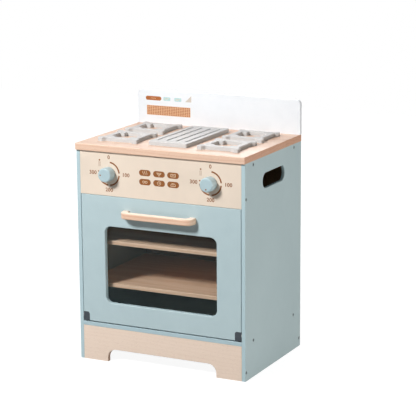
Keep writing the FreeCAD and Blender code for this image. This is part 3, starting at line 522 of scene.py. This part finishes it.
PILL = (28.3, 13.4)
PILL_CORNER = PILL[1] / 2 - 0.02
SIGN_LINE = 1.05
COLUMNS = (-34.2, 0.2, 34.2)
ROWS = (437.2, 417.2)


def rounded_tile(mesh, width, height, radius):
    """A flat tile with round corners."""
    corners = oblong(mesh, width, height)
    bmesh.ops.bevel(
        mesh, geom=corners, affect="VERTICES", offset=radius, segments=8, profile=0.5, material=-1,
    )


def ring_points(x, y, rx, ry, start=0.0, stop=360.0, steps=24):
    """Points round part of an oval."""
    turns = [math.radians(start + (stop - start) * step / steps) for step in range(steps + 1)]
    return [(x + rx * math.cos(turn), y + ry * math.sin(turn)) for turn in turns]


def strokes(name, lines, width, place):
    """Thin flat cream lines drawn round points, then stood up in place."""
    curve = bpy.data.curves.new(name, "CURVE")
    curve.dimensions = "2D"
    curve.bevel_depth = width * MM / 2
    curve.bevel_resolution = 1
    curve.use_fill_caps = True
    for line in lines:
        closed = math.dist(line[0], line[-1]) < 1e-6
        points = line[:-1] if closed else line
        spline = curve.splines.new("POLY")
        spline.points.add(len(points) - 1)
        for point, (px, py) in zip(spline.points, points):
            point.co = (px * MM, py * MM, 0, 1)
        spline.use_cyclic_u = closed
    flat = Matrix.Diagonal((1, 1, 2 * INK / width, 1))
    drawn(curve, name, standing(*place) @ flat, cream_ink)


def wave(x, y, length, height):
    """A wavy upright line, as for rising heat."""
    steps = [step / 16 for step in range(17)]
    return [
        (x + height * math.sin(share * 2 * math.pi), y + length * (share - 0.5)) for share in steps
    ]


SIGNS = {
    "heat": [wave(-4.5, 0, 7.5, 1.2), wave(0, 0, 7.5, 1.2), wave(4.5, 0, 7.5, 1.2)],
    "slice": [
        [(-5.2, 2.6), (5.2, 2.6), (0, -4.2), (-5.2, 2.6)],
        ring_points(-1.4, 0.6, 0.7, 0.7, steps=10), ring_points(1.6, 0.2, 0.7, 0.7, steps=10),
    ],
    "tray": [
        [(-5.6, 2.8), (5.6, 2.8), (5.6, -2.8), (-5.6, -2.8), (-5.6, 2.8)], [(-3.4, 0), (3.4, 0)],
    ],
    "fan": [
        ring_points(-3.1, 0, 2.7, 2.3), ring_points(3.1, 0, 2.7, 2.3),
        ring_points(0, 0, 0.6, 0.6, steps=8),
    ],
    "clock": [ring_points(0, 0, 3.9, 3.9), [(0, 2.4), (0, 0), (2.0, -1.2)]],
    "loaf": [
        ring_points(0, -0.8, 5.4, 3.4, 0, 180), [(-5.4, -0.8), (-5.4, -3.2), (5.4, -3.2), (5.4, -0.8)],
        [(-1.8, -0.6), (-0.6, 1.2)], [(0.8, -0.6), (2.0, 1.2)],
    ],
}
for index, (sign_name, lines) in enumerate(SIGNS.items()):
    x = COLUMNS[index % 3]
    z = ROWS[index // 3]
    mesh = bmesh.new()
    rounded_tile(mesh, *PILL, PILL_CORNER)
    printed(mesh, "button_" + sign_name, brown_ink, (x, FACE_Y, z))
    strokes("sign_" + sign_name, lines, SIGN_LINE, (x, FACE_Y - INK, z))


# ------------------------------------------------------------------ backsplash prints
# A small printed display on the left of the backsplash: a brown bar, two teal
# tiles, a rising wedge, and a brown grid with pale lines. All are screen ink.

SPLASH_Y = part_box("backsplash")[0].y / MM
SPLASH_INK_Y = SPLASH_Y - INK
TOP_ROW_Z = 550.0
BAR_X = -163.8
BAR_DASHES = [[(start, 0), (start + 2, 0)] for start in (-7, -3.5, 0, 3.5)]
TILE_LINES = [[(-6, 1.3), (6, 1.3)], [(-6, -1.3), (2, -1.3)]]
WEDGE_PLACE = (-74.0, SPLASH_Y, 553.5)
WEDGE = ((-8, -7.5, 0), (8, -7.5, 0), (8, 7.5, 0))
GRID_PLACE = (-125.0, 522.2)
GRID_COLUMNS = 24
GRID_ROWS = 6
GRID_SPAN = (112.0, 21.5)
GRID_LINE = (1.2, 1.0)
teal_ink = ink("teal_ink", tint(176, 212, 216))
sand_ink = ink("sand_ink", tint(200, 193, 184))
grid_ink = ink("grid_ink", tint(168, 103, 58))
line_ink = ink("line_ink", tint(222, 184, 148))
label_ink = ink("label_ink", tint(166, 96, 42))


def printed_tile(name, width, height, radius, x, z, material):
    """One round-cornered tile of ink on the backsplash."""
    mesh = bmesh.new()
    rounded_tile(mesh, width, height, radius)
    printed(mesh, name, material, (x, SPLASH_Y, z))


printed_tile("display_bar", 40.5, 9.5, 4.6, BAR_X, TOP_ROW_Z, label_ink)
strokes("display_bar_marks", BAR_DASHES, 1.2, (BAR_X, SPLASH_INK_Y, TOP_ROW_Z))
for name, x in (("left", -129.0), ("right", -100.5)):
    printed_tile(f"display_{name}_tile", 18.0, 8.4, 2.4, x, TOP_ROW_Z, teal_ink)
    place = (x, SPLASH_INK_Y, TOP_ROW_Z)
    strokes(f"display_{name}_marks", TILE_LINES, 0.8, place)
mesh = bmesh.new()
mesh.faces.new([mesh.verts.new(corner) for corner in WEDGE])
printed(mesh, "display_wedge", sand_ink, WEDGE_PLACE)
printed_tile("display_grid", 113.0, 22.5, 0.8, *GRID_PLACE, grid_ink)
mesh = bmesh.new()
for column in range(GRID_COLUMNS + 1):
    x = (column / GRID_COLUMNS - 0.5) * GRID_SPAN[0]
    oblong(mesh, GRID_LINE[0], 22.0, x)
for row in range(GRID_ROWS + 1):
    y = (row / GRID_ROWS - 0.5) * GRID_SPAN[1]
    oblong(mesh, GRID_SPAN[0], GRID_LINE[1], y=y, z=0.02)
place = (GRID_PLACE[0], SPLASH_INK_Y, GRID_PLACE[1])
printed(mesh, "display_grid_lines", line_ink, place, height=INK * 0.6)


# ------------------------------------------------------------------ oven door
# A thick fibreboard with a large window opening, sprayed the same blue. It
# hangs on two pins along its lower edge, and a magnet holds its top.

door_paint = paint("door_paint", tint(175, 195, 200), gloss=0.48, edge_axis=1)
dress(door_paint, "oven_door")


# ------------------------------------------------------------------ door window
# A clear acrylic pane with faint smears, dust and hairlines, tinted dark so that it
# darkens the oven seen through it: painted shade. Eight small screws hold it in a
# rebate behind the opening.

def acrylic(name):
    """Clear plastic: almost see-through, and more opaque where smears and dust lie."""
    finish = Finish(name)
    smear = finish.noise(14.0, detail=4.0, roughness=0.6)
    dust = finish.noise(1100.0, detail=0.0).band(0.76, 0.84)
    hair = finish.noise((900.0, 900.0, 40.0), detail=1.0).band(0.72, 0.8)
    return finish.done({
        # The dark base colour is painted shade: it darkens the oven's inside seen through the pane.
        "Base Color": (0.05, 0.075, 0.08, 1.0), "IOR": 1.49,
        "Roughness": 0.04 + smear * 0.05 + dust * 0.2,
        "Alpha": 0.1 + smear * 0.03 + dust * 0.15 + hair * 0.03,
        "Normal": finish.relief(smear, 0.0002, 0.2),
    })


dress(acrylic("acrylic"), "door_window")


# ------------------------------------------------------------------ door handle and pegs
# A clear-lacquered beech bar that curves back to the door at both ends, and is
# screwed on from inside. The dowels, shelf pegs, stop pegs and knob axles are
# plain beech too.

# The handle's front and back faces are darkened here: painted shade under the top light.
handle_beech = timber(
    "handle_beech", tint(252, 232, 214), tint(232, 190, 160), figure=1.1, gloss=0.34,
    end_tone=(0.80, 0.74, 0.68), painted_front_shade=(0.78, 0.66, 0.60),
)
dress(handle_beech, "door_handle")
peg_beech = timber("peg_beech", tint(228, 200, 168), tint(196, 156, 118), figure=0.3)
dress(peg_beech, "panel_dowels", "shelf_pegs", "door_stop_pegs", "left_knob_axle", "right_knob_axle")


# ------------------------------------------------------------------ hinge plates and metal parts
# Bent steel plates at the door's lower corners, powder coated in dark slate;
# zinc-plated screws and pins; black-zinc screws in the sides; spring steel
# clicks; and the catch's ferrite magnet.

def metal(name, colour, rough, metallic=1.0):
    """Plated steel: soft mottling, fine scratches and a little dulling."""
    finish = Finish(name)
    mottle = finish.noise(480.0, detail=4.0, roughness=0.65)
    scratches = finish.noise((90.0, 3200.0, 2600.0)).band(0.5, 0.8)
    dull = toned(colour, 0.74, 0.74, 0.76)
    return finish.done({
        "Base Color": finish.blend(mottle.band(0.3, 0.75), colour, dull), "Metallic": metallic,
        "Roughness": rough + mottle * 0.12 + scratches * 0.08,
        "Normal": finish.relief(mottle * 0.3 - scratches * 0.3, 0.00006, 0.5),
    })


slate_steel = metal("slate_steel", tint(66, 73, 80), 0.5, metallic=0.2)
dress(slate_steel, "left_hinge_plate", "right_hinge_plate")
dress(
    metal("zinc_plated", tint(186, 188, 192), 0.3), "hinge_pins", "batten_screws", "backsplash_screws",
    "hob_screws", "back_panel_screws", "catch_screws", "click_spring_screws", "window_screws",
    "handle_screws", "hinge_plate_screws", "strike_screws", "strike_plate", "left_axle_screw",
    "right_axle_screw",
)
dress(metal("black_zinc", tint(150, 160, 162), 0.46), "side_screws")
dress(metal("spring_metal", tint(150, 152, 158), 0.32), "left_click_spring", "right_click_spring")
dress(metal("ferrite_block", tint(52, 52, 54), 0.6, metallic=0.1), "catch_magnet")


# ------------------------------------------------------------------ plastic parts
# Moulded bushes, washers, click wheels and the catch's housing, in white and
# grey nylon. They sit on the pins and axles, out of sight.

def plastic(name, colour):
    """Moulded nylon: faint flow marks and a fine eroded grain."""
    finish = Finish(name)
    flow = finish.noise(120.0, detail=3.0)
    grain = finish.noise(2600.0, detail=1.0)
    return finish.done({
        "Base Color": finish.blend(flow, toned(colour, 0.93, 0.93, 0.92), colour), "IOR": 1.49,
        "Roughness": 0.36 + grain * 0.14, "Normal": finish.relief(grain, 0.00004, 0.5),
    })


dress(plastic("white_nylon", tint(232, 232, 228)), "catch_housing", "hinge_bushes")
dress(
    plastic("grey_nylon", tint(150, 152, 154)), "left_knob_washer", "right_knob_washer",
    "left_click_wheel", "right_click_wheel", "left_end_washer", "right_end_washer",
)


# ------------------------------------------------------------------ studio
# A pale floor and an even sky, with five soft lamps: a key at the upper left,
# a low fill and a side lamp at the right, one above and one behind. The camera
# looks from the right of the front, slightly from above.

WHITE = (1.0, 1.0, 1.0, 1.0)


def camera_share(studio):
    """1 for what the camera sees, and half for what it sees in a gloss."""
    seen = studio.node("LightPath", output="Is Camera Ray")
    return seen + seen.also("Is Glossy Ray") * 0.5


floor_finish = Finish("studio_floor")
floor_cloud = floor_finish.noise(3.0)
floor_base = floor_finish.blend(floor_cloud, tint(120, 120, 120), tint(124, 124, 124))
shown = floor_finish.node("Emission", None, {"Color": WHITE, "Strength": 0.93})
lit = floor_finish.node("BsdfDiffuse", None, {"Color": floor_base})
glow = floor_finish.node("AddShader", None, [shown, lit])
plain = floor_finish.node("BsdfDiffuse", None, {"Color": tint(140, 140, 140)})
floor_mix = floor_finish.node("MixShader", None, [camera_share(floor_finish), plain, glow])
floor_finish.node("OutputMaterial", None, {"Surface": floor_mix})
mesh = bmesh.new()
bmesh.ops.create_grid(mesh, x_segments=4, y_segments=4, size=3.2)
data = bpy.data.meshes.new("studio_floor")
mesh.to_mesh(data)
mesh.free()
data.materials.append(floor_finish.owner)
floor = bpy.data.objects.new("studio_floor", data)
floor.location = (0, 0, -0.0002)
bpy.context.scene.collection.objects.link(floor)

sky = Nodes(bpy.data.worlds.new("studio_sky"))
light = sky.node("Background", None, {"Color": WHITE, "Strength": 0.04})
backdrop = sky.node("Background", None, {"Color": WHITE, "Strength": 1.0})
sky_mix = sky.node("MixShader", None, [camera_share(sky), light, backdrop])
sky.node("OutputWorld", None, {"Surface": sky_mix})
bpy.context.scene.world = sky.owner
bpy.context.scene.view_settings.view_transform = "Standard"

MIDDLE = Vector((0.0, 0.0, 0.28))


def lamp(name, place, power, width, height, colour=WHITE[:3]):
    """A soft box turned towards the middle of the kitchen."""
    data = bpy.data.lights.new(name, "AREA")
    data.shape = "RECTANGLE"
    data.energy = power
    data.size = width
    data.size_y = height
    data.color = colour
    made = bpy.data.objects.new(name, data)
    made.location = place
    made.rotation_mode = "QUATERNION"
    made.visible_camera = False
    made.rotation_quaternion = (MIDDLE - Vector(place)).to_track_quat("-Z", "Y")
    bpy.context.scene.collection.objects.link(made)


lamp("key_lamp", (-0.94, -2.07, 2.08), 96.0, 0.54, 0.54, (1.0, 0.99, 0.98))
lamp("fill_lamp", (2.4, -0.25, 0.12), 26.5, 1.5, 0.22, (1.0, 0.96, 0.91))
lamp("side_lamp", (2.6, -0.15, 1.15), 10.0, 1.2, 0.8, (1.0, 0.96, 0.91))
lamp("top_lamp", (-0.2, 0.1, 3.0), 14.0, 1.6, 1.6)
lamp("back_lamp", (-0.8, 3.2, 2.6), 61.0, 2.0, 2.0)

AZIMUTH = math.radians(26.47)
ELEVATION = math.radians(12.74)
ROLL = math.radians(-0.38)
DISTANCE = 3.795
ASIDE = 0.0386
ABOVE = 0.0469
AIM = Vector((0, 0.0125, 0.285))
level_back = Vector((math.sin(AZIMUTH), -math.cos(AZIMUTH), 0)) * math.cos(ELEVATION)
back = level_back + Vector((0, 0, math.sin(ELEVATION)))
level_right = Vector((0, 0, 1)).cross(back).normalized()
level_up = back.cross(level_right)
right = math.cos(ROLL) * level_right + math.sin(ROLL) * level_up
up = -math.sin(ROLL) * level_right + math.cos(ROLL) * level_up
camera_data = bpy.data.cameras.new("camera")
camera_data.sensor_width = 36.0
camera_data.lens = 146.9
camera = bpy.data.objects.new("camera", camera_data)
camera.location = AIM + back * DISTANCE + right * ASIDE + up * ABOVE
camera.rotation_mode = "QUATERNION"
camera.rotation_quaternion = Matrix((right, up, back)).transposed().to_quaternion()
bpy.context.scene.collection.objects.link(camera)
bpy.context.scene.camera = camera
